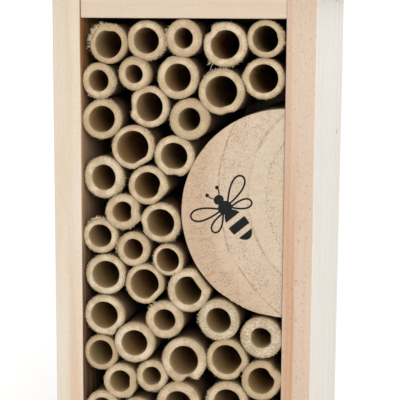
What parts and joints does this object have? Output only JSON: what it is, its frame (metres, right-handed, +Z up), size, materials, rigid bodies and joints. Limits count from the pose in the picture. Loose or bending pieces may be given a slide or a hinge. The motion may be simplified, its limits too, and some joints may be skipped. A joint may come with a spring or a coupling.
{
  "type": "insect hotel",
  "caption": "Narrow wooden insect hotel with a gable roof, nest tubes of bored cane round a half-round log, and a hinged hanging ring on its back.",
  "frame": {"origin": "middle of the case's underside, on the surface it stands on", "axes": "+X to the right seen from the front, -Y out of the open front, +Z up towards the ridge"},
  "size_m": [0.1254, 0.095, 0.2471],
  "materials": {
    "pine": "planed, bare",
    "rosy_pine": "planed, bare",
    "plywood": "sanded, bare",
    "bamboo": "natural cane, saw cut",
    "log_wood": "saw-cut end grain",
    "print_ink": "flat printed ink",
    "steel": "bright zinc plated"
  },
  "bodies": {
    "root": {"left_side": "pine", "right_side": "rosy_pine", "top_board": "pine", "base_board": "pine", "back_panel": "plywood", "gable_board": "pine", "roof_left": "pine", "roof_right": "pine", "half_log": "log_wood", "case_nails": "steel", "roof_nails": "steel", "hanger_strap": "steel", "hanger_screw": "steel", "tube_01": "bamboo", "tube_02": "bamboo", "tube_03": "bamboo", "tube_04": "bamboo", "tube_05": "bamboo", "tube_06": "bamboo", "tube_07": "bamboo", "tube_08": "bamboo", "tube_09": "bamboo", "tube_10": "bamboo", "tube_11": "bamboo", "tube_12": "bamboo", "tube_13": "bamboo", "tube_14": "bamboo", "tube_15": "bamboo", "tube_16": "bamboo", "tube_17": "bamboo", "tube_18": "bamboo", "tube_19": "bamboo", "tube_20": "bamboo", "tube_21": "bamboo", "tube_22": "bamboo", "tube_23": "bamboo", "tube_24": "bamboo", "tube_25": "bamboo", "tube_26": "bamboo", "tube_27": "bamboo", "tube_28": "bamboo", "tube_29": "bamboo", "tube_30": "bamboo", "tube_31": "bamboo", "tube_32": "bamboo", "tube_33": "bamboo", "tube_34": "bamboo", "tube_35": "bamboo", "tube_36": "bamboo", "tube_37": "bamboo", "tube_38": "bamboo", "tube_39": "bamboo", "tube_40": "bamboo", "tube_41": "bamboo", "tube_42": "bamboo", "tube_43": "bamboo", "tube_44": "bamboo", "tube_45": "bamboo", "tube_46": "bamboo"},
    "ring": {"hanger_ring": "steel"}
  },
  "joints": [
    {"name": "ring_swing", "type": "hinge", "parent": "root", "child": "ring", "pos_m": [0, 0.03708, 0.1765], "axis": [1, 0, 0], "range_deg": [0, 180]}
  ]
}
